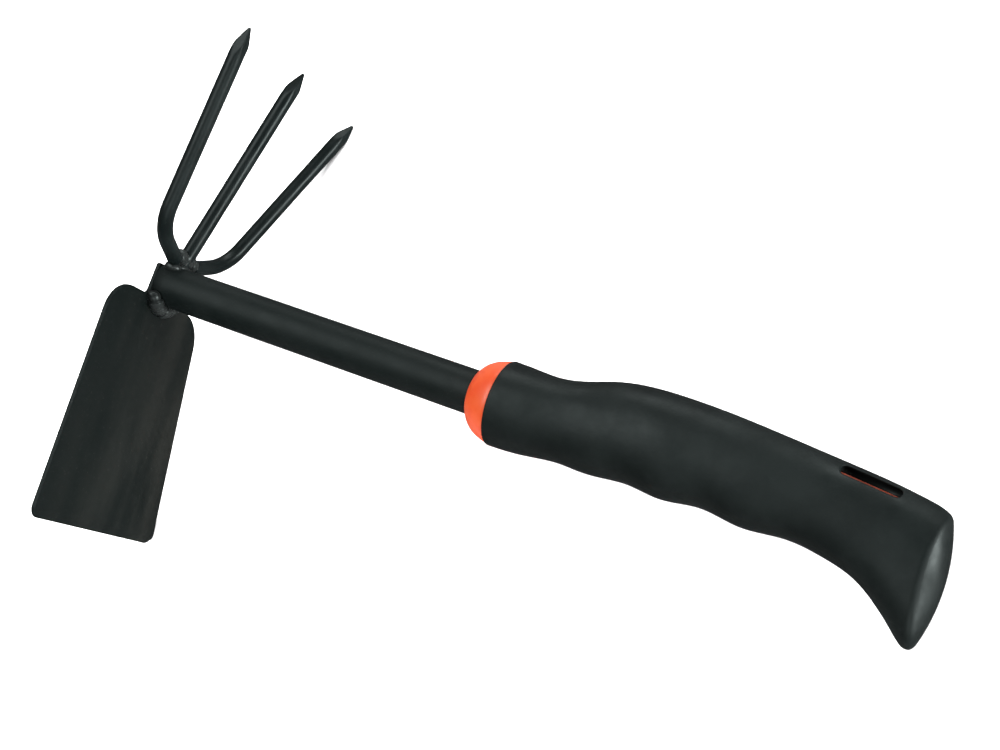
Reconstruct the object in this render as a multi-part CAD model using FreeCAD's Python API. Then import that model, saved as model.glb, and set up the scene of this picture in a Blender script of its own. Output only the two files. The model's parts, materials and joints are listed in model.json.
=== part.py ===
"""Two-headed hand hoe: a flat hoe blade and a three-tine fork welded to a tube with a soft grip.

Everything is designed in the tool's own frame, in millimetres: the origin is the centre of the
tube's head end, +X runs along the tube to the butt, +Z points to the tines and -Z to the blade.
The finished pieces are then laid on their side, as the tool rests on a bench.
"""
import FreeCAD, Part
import math
import os

# ---- Tube -----------------------------------------------------------------------------------
TUBE_DIA = 20.0
TUBE_WALL = 1.5
TUBE_LENGTH = 300.0          # runs on inside the handle

# ---- Hoe blade: stamped sheet, flat, leaning towards the handle ---------------------------------
BLADE_THICK = 1.8
BLADE_LEAN = 8.2             # degrees, the cutting edge leans towards the handle
BLADE_DEPTH = 120.2          # tube centre to cutting edge, along the blade
EDGE_WIDTH = 100.0
SHOULDER_WIDTH = 76.2
SHOULDER_DEPTH = 7.6         # tube centre to the top of the shoulders
SHOULDER_RADIUS = 16.0
EDGE_CORNER_RADIUS = 5.0
NECK_ROOT_WIDTH = 22.0
NECK_ROOT_RADIUS = 3.0
NECK_TOP_WIDTH = 16.8
NECK_TOP_HEIGHT = 8.5        # above the tube centre
NECK_TOP_RADIUS = 1.5
BEVEL_WIDTH = 4.0            # ground along the cutting edge, on the handle side
BEVEL_DROP = 1.2

# ---- Tines: round rod, the outer two bent at the root -------------------------------------------
ROD_DIA = 7.5
TINE_POINT = 13.0            # length of the ground point
POINT_FLAT = 0.5             # half width of the blunt tip
POINT_SHIFT = 0.8            # the tip lies this far off the rod's axis, towards the handle
FORK_FOOT_X = 5.1            # foot of the fork on the tube, where the tines' leans meet
FORK_FOOT_Z = 12.0
MIDDLE_LEAN = 10.9           # degrees towards the handle
OUTER_LEAN = 12.4
MIDDLE_TIP = 107.3           # tip above the fork's foot, along the lean
OUTER_TIP = 104.9
OUTER_TIP_SPREAD = 57.2      # outer tip from the middle plane
OUTER_BEND_SPREAD = 31.0     # corner of the bend from the middle plane
OUTER_BEND_RISE = 9.6        # corner of the bend above the fork's foot
OUTER_BEND_RADIUS = 24.0     # to the rod's centre line
OUTER_ROOT_SLOPE = 22.0      # degrees above level, from the root to the bend
OUTER_ROOT_SPREAD = 7.4      # cut end of the outer rods from the middle plane

# ---- Welds --------------------------------------------------------------------------------------
BLADE_BEAD_LEG = 6.2
BLADE_BEAD_HALF_SWEEP = 60.0  # degrees each side of the lowest point of the tube
TUBE_WELD_SIZE = (8.5, 10.5, 6.0)
TUBE_WELD_CENTRE = (5.2, 0.0, 8.0)
ROOT_WELD_SIZE = (4.7, 9.5, 6.4)
ROOT_WELD_CENTRE = (5.4, 0.0, 14.2)

# ---- Handle: hard core moulded on the tube, soft sleeve moulded over the core --------------------
COLLAR_START = 168.8         # front of the collar on the tube
COLLAR_LIP_RADIUS = 10.6
COLLAR_BULGE = (172.4, 15.1)  # the flank bows out through here
COLLAR_SHOULDER = (179.4, 18.3)
SLEEVE_START = 181.6         # back of the collar, front of the sleeve
SLEEVE_START_RADIUS = 19.1
COLLAR_DROP = 0.4            # the round collar sits this far below the tube's axis
SLEEVE_WALL = 2.0
SECTION_POWER = 2.2          # 2 would be an ellipse
SECTION_POINTS = 24
# Outline of the grip from the collar to beyond the butt: place along the tube, top, underside
# and half the width. The underside swells three times to fill the fingers.
GRIP_STATIONS = (
    (181.6, 18.7, -19.5, 19.1),
    (191.0, 18.4, -19.2, 18.6),
    (203.0, 18.0, -17.8, 17.8),
    (214.0, 19.8, -16.6, 17.4),
    (228.0, 24.2, -16.8, 17.6),
    (246.0, 27.0, -15.2, 18.2),
    (261.0, 27.3, -16.3, 18.4),
    (278.0, 26.8, -14.2, 18.0),
    (296.0, 25.6, -16.0, 17.6),
    (314.0, 24.1, -14.4, 16.8),
    (332.0, 22.6, -16.3, 16.0),
    (346.0, 21.3, -20.5, 15.4),
    (356.0, 20.0, -26.8, 15.0),
    (364.0, 18.7, -33.4, 14.8),
    (370.0, 17.0, -38.2, 14.8),
    (376.0, 13.2, -39.6, 14.8),
    (384.0, 6.0, -38.0, 14.8),
)
BUTT_END = 378.0
BUTT_CENTRE_Z = -13.5
BUTT_ARC_RADIUS = 82.0       # the butt seen from the side
BUTT_PLAN_RADIUS = 16.4      # the butt seen from above
BUTT_EDGE_RADIUS = 4.5       # between the butt and the sides
BUTT_PLANE = 352.0           # the butt's rounding acts beyond here

# ---- Hanging slot: a deep recess from each side of the tail, with a web left between -------------
SLOT_CENTRE = (340.0, 17.5)  # along the tube, above it
SLOT_TILT = 5.0              # degrees, down towards the butt
SLOT_LENGTH = 25.4           # the opening in the sleeve
SLOT_HEIGHT = 4.2
SLOT_LEDGE = 0.8             # strip of core left showing along the bottom of the opening
SLOT_WEB = 3.0
NOTCH_MARGIN = 1.2           # the core's notch is longer than the opening at each end by this

# ---- Resting place: on its side, on the far tine, the far corner of the blade and the butt ------
LIE_PITCH = 6.3              # degrees, butt down
LIE_ROLL = 2.4               # degrees, tines up

REACH = 200.0                # more than any half size across the tube
ORIGIN = FreeCAD.Vector(0, 0, 0)
AXIS_X = FreeCAD.Vector(1, 0, 0)
AXIS_Y = FreeCAD.Vector(0, 1, 0)
AXIS_Z = FreeCAD.Vector(0, 0, 1)


def box(low, high):
    """Block between two opposite corners."""
    size = [b - a for a, b in zip(low, high)]
    return Part.makeBox(*size, FreeCAD.Vector(*low))


def egg(half_sizes, centre):
    """Ellipsoid with its axes along X, Y and Z."""
    matrix = FreeCAD.Matrix()
    matrix.scale(*half_sizes)
    shape = Part.makeSphere(1.0).transformGeometry(matrix)
    shape.translate(FreeCAD.Vector(*centre))
    return shape


def rounded_wire(corners):
    """Closed outline of straight runs, each corner (point, radius) rounded by a tangent arc."""
    count = len(corners)
    runs = []
    for i, (point, radius) in enumerate(corners):
        before = (corners[i - 1][0] - point).normalize()
        after = (corners[(i + 1) % count][0] - point).normalize()
        half_angle = before.getAngle(after) / 2
        reach = radius / math.tan(half_angle)
        middle = (before + after).normalize()
        depth = radius / math.sin(half_angle) - radius
        runs.append((point + before * reach, point + middle * depth, point + after * reach))
    edges = []
    for i, (start, middle, end) in enumerate(runs):
        edges.append(Part.Arc(start, middle, end).toShape())
        edges.append(Part.LineSegment(end, runs[(i + 1) % count][0]).toShape())
    return Part.Wire(Part.__sortEdges__(edges))


def lean_blade(shape):
    """Swing the cutting edge towards the handle."""
    shape.rotate(ORIGIN, AXIS_Y, -BLADE_LEAN)
    return shape


def behind_blade():
    """Everything on the far side of the blade's inner face, which the tube and bead butt on."""
    return lean_blade(box((-REACH, -REACH, -REACH), (0, REACH, REACH)))


def make_blade():
    """Stamped blade and neck in one sheet, with a bevel ground along the cutting edge."""
    half_outline = (
        (NECK_TOP_WIDTH / 2, NECK_TOP_HEIGHT, NECK_TOP_RADIUS),
        (NECK_ROOT_WIDTH / 2, -SHOULDER_DEPTH, NECK_ROOT_RADIUS),
        (SHOULDER_WIDTH / 2, -SHOULDER_DEPTH, SHOULDER_RADIUS),
        (EDGE_WIDTH / 2, -BLADE_DEPTH, EDGE_CORNER_RADIUS),
    )
    right = [(FreeCAD.Vector(0, y, z), radius) for y, z, radius in half_outline]
    left = [(FreeCAD.Vector(0, -y, z), radius) for y, z, radius in reversed(half_outline)]
    sheet = Part.Face(rounded_wire(right + left)).extrude(AXIS_X * -BLADE_THICK)
    bevel = Part.makePolygon([
        FreeCAD.Vector(1, -REACH, -BLADE_DEPTH + BEVEL_WIDTH * (1 + 1 / BEVEL_DROP)),
        FreeCAD.Vector(1, -REACH, -BLADE_DEPTH - 1),
        FreeCAD.Vector(-BEVEL_DROP * (1 + 1 / BEVEL_WIDTH), -REACH, -BLADE_DEPTH - 1),
        FreeCAD.Vector(1, -REACH, -BLADE_DEPTH + BEVEL_WIDTH * (1 + 1 / BEVEL_DROP)),
    ])
    return lean_blade(sheet.cut(Part.Face(bevel).extrude(AXIS_Y * 2 * REACH)))


def tube_bar(radius, start, end):
    """Round bar along the tube's axis."""
    return Part.makeCylinder(radius, end - start, AXIS_X * start, AXIS_X)


def make_tube():
    """Welded steel tube, its head end cut to lie flat on the leaning blade."""
    outer = tube_bar(TUBE_DIA / 2, -TUBE_DIA, TUBE_LENGTH)
    inner = tube_bar(TUBE_DIA / 2 - TUBE_WALL, -TUBE_DIA, TUBE_LENGTH)
    return outer.cut(inner).cut(behind_blade())


def fork_point(lean_degrees, spread, rise):
    """Point on a tine: sideways from the middle plane and up from the fork's foot, leaning."""
    lean = math.radians(lean_degrees)
    x = FORK_FOOT_X + rise * math.sin(lean)
    return FreeCAD.Vector(x, spread, FORK_FOOT_Z + rise * math.cos(lean))


def tine_point(tip, along):
    """Four-sided ground point as a solid pyramid that ends at the tip."""
    towards_handle = AXIS_X - along * AXIS_X.dot(along)
    towards_handle.normalize()
    sideways = along.cross(towards_handle)
    base = tip - along * TINE_POINT
    slope = (ROD_DIA - 2 * POINT_FLAT) / 2 / TINE_POINT
    wires = []
    for back in (0.0, 2 * TINE_POINT):
        half = POINT_FLAT + slope * back
        centre = tip - along * back + towards_handle * POINT_SHIFT * (1 - back / TINE_POINT)
        corners = [centre + towards_handle * half * a + sideways * half * b
                   for a, b in ((1, 1), (1, -1), (-1, -1), (-1, 1), (1, 1))]
        wires.append(Part.makePolygon(corners))
    pyramid = Part.makeLoft(wires, True, True)
    bar = Part.makeCylinder(ROD_DIA / 2, TINE_POINT, base, along)
    return bar.common(pyramid)


def straight_rod(start, end):
    """Round rod between two points."""
    run = end - start
    return Part.makeCylinder(ROD_DIA / 2, run.Length, start, run)


def make_middle_tine():
    """Straight tine, its foot shaped to sit on the tube."""
    foot = fork_point(MIDDLE_LEAN, 0, -TUBE_DIA / 4)
    tip = fork_point(MIDDLE_LEAN, 0, MIDDLE_TIP)
    along = (tip - foot).normalize()
    rod = straight_rod(foot, tip - along * TINE_POINT)
    rod = rod.cut(tube_bar(TUBE_DIA / 2, -TUBE_DIA, TUBE_LENGTH))
    return rod.fuse(tine_point(tip, along)).removeSplitter()


def make_outer_tine(side):
    """Bent tine: a short root, a bend and a straight run that fans out. side is 1 or -1."""
    slope = math.radians(OUTER_ROOT_SLOPE)
    root_rise = OUTER_BEND_RISE - (OUTER_BEND_SPREAD - OUTER_ROOT_SPREAD) * math.tan(slope)
    root = fork_point(OUTER_LEAN, side * OUTER_ROOT_SPREAD, root_rise)
    corner = fork_point(OUTER_LEAN, side * OUTER_BEND_SPREAD, OUTER_BEND_RISE)
    tip = fork_point(OUTER_LEAN, side * OUTER_TIP_SPREAD, OUTER_TIP)
    into_bend = (corner - root).normalize()
    along = (tip - corner).normalize()
    turn = into_bend.getAngle(along)
    reach = OUTER_BEND_RADIUS * math.tan(turn / 2)
    inward = (along - into_bend).normalize()
    depth = OUTER_BEND_RADIUS * (1 / math.cos(turn / 2) - 1)
    bend_start = corner - into_bend * reach
    bend_end = corner + along * reach
    bend = Part.Arc(bend_start, corner + inward * depth, bend_end).toShape()
    profile = Part.Wire(Part.makeCircle(ROD_DIA / 2, bend_start, into_bend))
    elbow = Part.Wire(bend).makePipeShell([profile], True, True)
    rod = straight_rod(root, bend_start).fuse([
        elbow,
        straight_rod(bend_end, tip - along * TINE_POINT),
        tine_point(tip, along),
    ])
    return rod.removeSplitter()


def make_blade_bead():
    """Fillet bead round the lower side of the tube's end, against the blade."""
    radius = TUBE_DIA / 2
    reach = radius + BLADE_BEAD_LEG
    back = reach * math.tan(math.radians(BLADE_LEAN)) + 1
    crown = FreeCAD.Vector(BLADE_BEAD_LEG * 0.62, 0, -radius - BLADE_BEAD_LEG * 0.62)
    foot_on_tube = FreeCAD.Vector(BLADE_BEAD_LEG + 1.4, 0, -radius)
    foot_on_blade = FreeCAD.Vector(1.4, 0, -reach)
    outline = Part.Wire([
        Part.Arc(foot_on_tube, crown + AXIS_X * 1.4, foot_on_blade).toShape(),
        Part.makePolygon([
            foot_on_blade,
            FreeCAD.Vector(-back, 0, -reach),
            FreeCAD.Vector(-back, 0, -radius),
            foot_on_tube,
        ]),
    ])
    section = Part.Face(outline)
    section.rotate(ORIGIN, AXIS_X, -BLADE_BEAD_HALF_SWEEP)
    return section.revolve(ORIGIN, AXIS_X, 2 * BLADE_BEAD_HALF_SWEEP).cut(behind_blade())


def make_tube_weld(neighbours):
    """Lump of weld that joins the fork to the top of the tube, filling round its neighbours."""
    lump = egg(TUBE_WELD_SIZE, TUBE_WELD_CENTRE)
    lump = lump.cut(tube_bar(TUBE_DIA / 2, -TUBE_DIA, TUBE_LENGTH)).cut(behind_blade())
    return lump.cut(neighbours)


def make_root_weld(neighbours):
    """Weld between the feet of the three tines."""
    lump = egg(ROOT_WELD_SIZE, ROOT_WELD_CENTRE)
    lump = lump.cut(tube_bar(TUBE_DIA / 2, -TUBE_DIA, TUBE_LENGTH))
    return lump.cut(neighbours)


def grip_section(station, inset):
    """Rounded cross-section of the grip, drawn in by inset all round."""
    x, top, bottom, half_width = station
    half_height = (top - bottom) / 2 - inset
    centre_z = (top + bottom) / 2
    power = 2 / SECTION_POWER
    points = []
    for i in range(SECTION_POINTS):
        angle = 2 * math.pi * i / SECTION_POINTS
        across = math.copysign(abs(math.cos(angle)) ** power, math.cos(angle))
        up = math.copysign(abs(math.sin(angle)) ** power, math.sin(angle))
        points.append(FreeCAD.Vector(x, across * (half_width - inset), centre_z + up * half_height))
    curve = Part.BSplineCurve()
    curve.interpolate(Points=points, PeriodicFlag=True)
    return Part.Wire(curve.toShape())


def butt_rounding(inset):
    """Everything outside a wheel with a full round rim: the rim is the surface of the butt."""
    side = BUTT_PLAN_RADIUS - inset
    centre_x = BUTT_END - BUTT_ARC_RADIUS
    rim_x = centre_x - BUTT_ARC_RADIUS + BUTT_PLAN_RADIUS
    outline = Part.Wire([
        Part.Arc(
            FreeCAD.Vector(rim_x, -side, BUTT_CENTRE_Z),
            FreeCAD.Vector(rim_x - side, 0, BUTT_CENTRE_Z),
            FreeCAD.Vector(rim_x, side, BUTT_CENTRE_Z),
        ).toShape(),
        Part.makePolygon([
            FreeCAD.Vector(rim_x, side, BUTT_CENTRE_Z),
            FreeCAD.Vector(centre_x, side, BUTT_CENTRE_Z),
            FreeCAD.Vector(centre_x, -side, BUTT_CENTRE_Z),
            FreeCAD.Vector(rim_x, -side, BUTT_CENTRE_Z),
        ]),
    ])
    centre = FreeCAD.Vector(centre_x, 0, BUTT_CENTRE_Z)
    wheel = Part.Face(outline).revolve(centre, AXIS_Y, 360)
    beyond = box((BUTT_PLANE, -REACH, -REACH), (BUTT_PLANE + REACH, REACH, REACH))
    return beyond.cut(wheel)


def grip_envelope(inset):
    """Grip shape drawn in by inset, with the rounded butt and its softened edge."""
    body = Part.makeLoft([grip_section(station, inset) for station in GRIP_STATIONS], True, False)
    body = body.cut(butt_rounding(inset)).Solids[0]
    butt_edges = [edge for edge in body.Edges
                  if edge.BoundBox.XMin > BUTT_PLANE and edge.Length > BUTT_PLAN_RADIUS]
    return body.makeFillet(BUTT_EDGE_RADIUS - inset, butt_edges)


def at_slot(shape):
    """Tilt a shape drawn about the origin and move it to the hanging slot."""
    shape.rotate(ORIGIN, AXIS_Y, SLOT_TILT)
    shape.translate(FreeCAD.Vector(SLOT_CENTRE[0], 0, SLOT_CENTRE[1]))
    return shape


def slot_bar():
    """Bars with round ends that cut the hanging slot from both sides and leave its web."""
    half_run = (SLOT_LENGTH - SLOT_HEIGHT) / 2
    ends = [Part.makeCylinder(SLOT_HEIGHT / 2, 2 * REACH, FreeCAD.Vector(x, -REACH, 0), AXIS_Y)
            for x in (-half_run, half_run)]
    middle = box((-half_run, -REACH, -SLOT_HEIGHT / 2), (half_run, REACH, SLOT_HEIGHT / 2))
    web = box((-REACH, -SLOT_WEB / 2, -REACH), (REACH, SLOT_WEB / 2, REACH))
    return at_slot(middle.fuse(ends).removeSplitter().cut(web))


def core_notch():
    """Block that opens the top of the core, side to side, so the slot lies over its floor."""
    half = SLOT_LENGTH / 2 + NOTCH_MARGIN
    floor = SLOT_LEDGE - SLOT_HEIGHT / 2
    return at_slot(box((-half, -REACH, floor), (half, REACH, floor + REACH)))


def make_collar():
    """Domed cone that closes the front of the handle, open for the tube."""
    shoulder_start = FreeCAD.Vector(COLLAR_SHOULDER[0] - 1.2, 0, COLLAR_SHOULDER[1] - 0.5)
    outline = Part.Wire([
        Part.makePolygon([
            FreeCAD.Vector(SLEEVE_START, 0, SLEEVE_START_RADIUS),
            FreeCAD.Vector(SLEEVE_START, 0, 0),
            FreeCAD.Vector(COLLAR_START, 0, 0),
            FreeCAD.Vector(COLLAR_START, 0, COLLAR_LIP_RADIUS),
        ]),
        Part.Arc(
            FreeCAD.Vector(COLLAR_START, 0, COLLAR_LIP_RADIUS),
            FreeCAD.Vector(COLLAR_BULGE[0], 0, COLLAR_BULGE[1]),
            shoulder_start,
        ).toShape(),
        Part.Arc(
            shoulder_start,
            FreeCAD.Vector(COLLAR_SHOULDER[0], 0, COLLAR_SHOULDER[1]),
            FreeCAD.Vector(SLEEVE_START, 0, SLEEVE_START_RADIUS),
        ).toShape(),
    ])
    cone = Part.Face(outline).revolve(ORIGIN, AXIS_X, 360)
    cone.translate(AXIS_Z * -COLLAR_DROP)
    return cone


def make_core(envelope):
    """Hard plastic core with its collar, moulded round the tube, notched for the hanging slot."""
    core = envelope.fuse(make_collar())
    core = core.cut(tube_bar(TUBE_DIA / 2, 0, TUBE_LENGTH))
    return core.cut(core_notch()).removeSplitter()


def make_sleeve(core):
    """Soft sleeve over the core. It fills the core's notch but for the hanging slot."""
    tube = tube_bar(TUBE_DIA / 2, 0, TUBE_LENGTH)
    return grip_envelope(0).cut([core, tube, slot_bar()])


def lay_on_side(shapes):
    """Turn the finished tool onto its side and put the middle of its footprint at the origin."""
    side_up = FreeCAD.Rotation(AXIS_X, -90)
    pitch = FreeCAD.Rotation(AXIS_Y, LIE_PITCH)
    roll = FreeCAD.Rotation(AXIS_X, LIE_ROLL)
    turned = FreeCAD.Placement(ORIGIN, roll * pitch * side_up)
    for shape in shapes.values():
        shape.Placement = turned * shape.Placement
    around = Part.makeCompound(list(shapes.values())).optimalBoundingBox(False, False)
    to_origin = FreeCAD.Vector(-around.Center.x, -around.Center.y, -around.ZMin)
    for shape in shapes.values():
        shape.translate(to_origin)
    print("tool axis origin at", to_origin, "box", around.XLength, around.YLength, around.ZLength)


def main():
    os.makedirs("parts", exist_ok=True)
    shapes = {
        "hoe_blade": make_blade(),
        "shaft_tube": make_tube(),
        "tine_middle": make_middle_tine(),
        "tine_left": make_outer_tine(-1),
        "tine_right": make_outer_tine(1),
    }
    tines = [shapes[name] for name in ("tine_middle", "tine_left", "tine_right")]
    shapes["blade_weld_bead"] = make_blade_bead()
    shapes["tine_root_weld"] = make_root_weld(tines)
    shapes["fork_weld"] = make_tube_weld(tines + [shapes["hoe_blade"], shapes["tine_root_weld"]])
    shapes["handle_core"] = make_core(grip_envelope(SLEEVE_WALL))
    shapes["grip_sleeve"] = make_sleeve(shapes["handle_core"])
    for name, shape in shapes.items():
        print(name, "valid", shape.isValid(), "solids", len(shape.Solids), "mm3", round(shape.Volume))
    lay_on_side(shapes)
    for name, shape in shapes.items():
        shape.exportStep("parts/" + name + ".step")


main()
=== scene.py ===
import json
import math

import bmesh
import bpy
import numpy as np
from mathutils import Matrix, Vector, noise
from mathutils.geometry import delaunay_2d_cdt


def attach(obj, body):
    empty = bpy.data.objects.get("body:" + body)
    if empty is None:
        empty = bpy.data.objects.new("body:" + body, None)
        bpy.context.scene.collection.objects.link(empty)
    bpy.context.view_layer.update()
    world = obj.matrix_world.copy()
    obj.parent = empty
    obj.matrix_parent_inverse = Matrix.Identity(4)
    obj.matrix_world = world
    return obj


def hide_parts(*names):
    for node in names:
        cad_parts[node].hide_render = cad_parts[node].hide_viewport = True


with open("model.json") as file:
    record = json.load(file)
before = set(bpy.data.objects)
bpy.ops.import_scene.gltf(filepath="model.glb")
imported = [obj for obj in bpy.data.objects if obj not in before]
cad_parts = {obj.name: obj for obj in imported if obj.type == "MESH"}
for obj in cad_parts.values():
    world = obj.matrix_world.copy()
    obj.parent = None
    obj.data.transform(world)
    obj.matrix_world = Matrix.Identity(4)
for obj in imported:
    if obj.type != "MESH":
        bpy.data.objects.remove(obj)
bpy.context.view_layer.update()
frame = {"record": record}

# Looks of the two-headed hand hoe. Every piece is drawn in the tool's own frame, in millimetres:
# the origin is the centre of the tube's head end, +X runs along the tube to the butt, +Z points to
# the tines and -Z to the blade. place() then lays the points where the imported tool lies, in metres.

# ---- Where the tool lies ------------------------------------------------------------------------
LIE_PITCH = math.radians(6.3)    # butt down
LIE_ROLL = math.radians(2.4)     # tines up
CLIP_AT = Vector((85.0, 0.0, 0.0))   # the mount shaft_clip in the tool's frame
MM = 0.001

# ---- Head ---------------------------------------------------------------------------------------
TUBE_RADIUS = 10.0
TUBE_WALL = 1.5
TUBE_LENGTH = 300.0
TUBE_EDGE = 0.25                 # of the broken edges of its ends
TUBE_CUT_END = 6.0               # the slanted cut of its head end is over here
TUBE_RINGS = 60
BLADE_THICK = 1.8
BLADE_LEAN = math.radians(8.2)
BLADE_DEPTH = 120.2
BEVEL_WIDTH = 4.0
BEVEL_DROP = 1.2
BLADE_EDGE_RADIUS = 0.29         # of the sheet's broken edges
BLADE_SPACING = 2.5              # of the points over the blade's faces
OUTLINE_STEP = 3.0               # longest step along its outline
CREASE_POINTS = 40               # along the bevel's upper edge
CREASE_GAP = 1.2                 # kept free of the faces' points on either side of it
RIM_GAP = 1.6                    # and inside the outline
PRESS_MARKS = ((-6.5, 0.16), (4.0, 0.2), (9.5, 0.12))   # across and depth, below the neck
PRESS_MARK_WIDTH = 1.6
TUBE_POINTS = 128                # round the tube and the collar
# Half outline of blade and neck: across, down from the tube's centre, corner radius.
BLADE_CORNERS = ((8.4, -8.5, 1.5), (11.0, 7.6, 3.0), (38.1, 7.6, 16.0), (50.0, 120.2, 5.0))

ROD_RADIUS = 3.75
POINT_LENGTH = 13.0
POINT_FLAT = 0.5
POINT_SHIFT = 0.8
POINT_SOFTNESS = 14              # the higher, the crisper the edges of the ground point
ROD_POINTS = 64                  # round a rod
TIP_RINGS = 46                   # along the ground point
FORK_FOOT = (5.1, 12.0)          # along the tube and above its centre
MIDDLE_LEAN = math.radians(10.9)
OUTER_LEAN = math.radians(12.4)
MIDDLE_TIP = 107.3
OUTER_TIP = 104.9
OUTER_TIP_SPREAD = 57.2
OUTER_BEND = (31.0, 9.6, 24.0)   # spread, rise and radius
OUTER_ROOT_SPREAD = 7.4
OUTER_ROOT_SLOPE = math.radians(22.0)

BEAD_SWEEP = math.radians(62)    # each side of the lowest point of the tube
BEAD_RADIUS = TUBE_RADIUS + 1.9  # of the bead's middle, about the tube's axis
BEAD_OFF = 2.0                   # of the bead's middle, from the blade's plane along the tube
BEAD_HALF = (3.9, 3.5)           # half sizes along the tube and out from it
BEAD_LUMPS = 6
BEAD_RINGS = 150
LUMP_POINTS, LUMP_RINGS = 32, 18
WELD_VOXEL = 0.35                # of the grid that runs the lumps together
# Lumps of the other two welds: centre and half sizes.
FORK_WELD_LUMPS = (
    ((4.2, -5.6, 8.6), (4.0, 3.6, 2.8)),
    ((4.6, 0.0, 9.6), (4.8, 5.2, 2.6)),
    ((4.8, 4.6, 9.6), (4.2, 4.0, 2.4)),
    ((9.0, 1.5, 9.2), (4.2, 3.0, 1.4)),
)
ROOT_WELD_LUMPS = (
    ((5.2, -4.8, 14.2), (3.9, 3.8, 4.0)),
    ((5.4, 0.5, 15.0), (4.2, 4.6, 5.2)),
    ((5.4, 5.6, 13.4), (3.8, 3.4, 3.6)),
)

# ---- Handle -------------------------------------------------------------------------------------
# Along the tube, top, underside and half width.
GRIP_STATIONS = np.array((
    (181.6, 18.7, -19.5, 19.1),
    (191.0, 18.4, -19.2, 18.6),
    (203.0, 18.0, -17.8, 17.8),
    (214.0, 19.8, -16.6, 17.4),
    (228.0, 24.2, -16.8, 17.6),
    (246.0, 27.0, -15.2, 18.2),
    (261.0, 27.3, -16.3, 18.4),
    (278.0, 26.8, -14.2, 18.0),
    (296.0, 25.6, -16.0, 17.6),
    (314.0, 24.1, -14.4, 16.8),
    (332.0, 22.6, -16.3, 16.0),
    (346.0, 21.3, -20.5, 15.4),
    (356.0, 20.0, -26.8, 15.0),
    (364.0, 18.7, -33.4, 14.8),
    (370.0, 17.0, -38.2, 14.8),
    (376.0, 13.2, -39.6, 14.8),
    (384.0, 6.0, -38.0, 14.8),
))
GRIP_START = 181.6
GRIP_POWERS = (2.0, 2.2)         # section at the collar, and from here on: 2 is an ellipse
GRIP_POWER_RUN = 18.0
TAIL_START = 358.0               # beyond here the rings lean over to follow the butt
SLEEVE_WALL = 2.0
SLEEVE_FRONT = 7.0               # how far back the sleeve's inner face is drawn
GRIP_SPACING = 1.6               # of the grip's rings, up to the slot
CORE_GAP = 0.03                  # between the core and the sleeve
BUTT_END = 377.96
BUTT_CENTRE_Z = -13.5
BUTT_ARC_RADIUS = 82.0
BUTT_PLAN_RADIUS = 16.4
BUTT_EDGE_RADIUS = 4.6           # of the soft edge round the butt
BUTT_COLUMNS = 14                # of quads across the butt
TAIL_RINGS, EDGE_RINGS = 12, 8   # of the leaning tail, and over the butt's soft edge
CORE_RINGS = (60, 20, 4)         # of the core, before, along and after its notch
COLLAR_DROP = 0.4
# Half section of the collar, along the tube and out from it: lip, bowed flank, shoulder, back.
COLLAR_SECTION = (
    (170.5, 10.05), (169.3, 10.1), (168.95, 10.3), (168.88, 10.6), (169.05, 11.1),
    (169.7, 12.1), (170.8, 13.5), (172.4, 15.0), (174.2, 16.2), (176.2, 17.15),
    (177.8, 17.65), (179.2, 18.1), (180.2, 18.35), (181.2, 18.4), (182.6, 18.3),
    (182.6, 10.05),
)
SLOT_AT = (340.0, 17.5)
SLOT_TILT = math.radians(5.0)
SLOT_LENGTH = 25.4
SLOT_HEIGHT = 4.2
SLOT_LEDGE = 0.8                 # strip of core left showing along the bottom of the opening
SLOT_SHADE_WALL = 3.0                   # rubber wall left in the middle between the two sides' recesses, a dark stand-in for the shade seen through the slot
NOTCH_MARGIN = 1.2               # the core's notch is longer than the opening by this each end
SLOT_LIP = 0.55                  # radius of the slot's rounded edge
FRONT_LIP = 0.7                  # radius of the sleeve's rounded front edge
SLOT_SPAN = (326.0, 354.0)       # rings of the grip that the slot's patch replaces
SLOT_PATCH_ANGLES = (68.0, 31.0)  # and its upper and lower edge round the section, in degrees

# ---- Camera, in the tool's frame ----------------------------------------------------------------
CAMERA_AT = Vector((412.7, -600.2, -59.4))
CAMERA_LOOKS = Vector((-0.3646, 0.9248, 0.1084))
CAMERA_UP = Vector((-0.3014, -0.2274, 0.926))
CAMERA_LENS = 54.0


def tool_rotation():
    """Turns the tool's frame into the frame it lies in."""
    side_up = Matrix.Rotation(-math.pi / 2, 3, "X")
    return Matrix.Rotation(LIE_ROLL, 3, "X") @ Matrix.Rotation(LIE_PITCH, 3, "Y") @ side_up


def tool_origin():
    """The tool's origin in the row's frame, in metres, from where the clip mount lies."""
    clip = next(m for m in frame["record"]["mounts"] if m["name"] == "shaft_clip")
    return Vector(clip["pos_m"]) - TURN @ CLIP_AT * MM


TURN = tool_rotation()
START = tool_origin()


def place(points):
    """Points of the tool's frame, in millimetres, as points of the row's frame, in metres."""
    turn = np.array(TURN)
    return np.asarray(points, float) @ turn.T * MM + np.array(START)


# ---- Meshes -------------------------------------------------------------------------------------
def piece(name, points, faces, material, slot, *nodes, sharp=()):
    """A smooth-shaded mesh that stands for these CAD nodes and rides on the tool."""
    mesh = bpy.data.meshes.new(name)
    mesh.from_pydata([tuple(p) for p in place(points)], [], [tuple(f) for f in faces])
    mesh.validate()
    solid = bmesh.new()
    solid.from_mesh(mesh)
    bmesh.ops.recalc_face_normals(solid, faces=solid.faces)
    solid.to_mesh(mesh)
    solid.free()
    mesh.shade_smooth()
    wanted = {frozenset(e) for e in sharp}
    if wanted:
        flags = [frozenset(e.vertices) in wanted for e in mesh.edges]
        mesh.attributes.new("sharp_edge", "BOOLEAN", "EDGE").data.foreach_set("value", flags)
    mesh.materials.append(material)
    obj = bpy.data.objects.new(name, mesh)
    bpy.context.scene.collection.objects.link(obj)
    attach(obj, "root")
    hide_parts(*nodes)
    return obj


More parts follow.
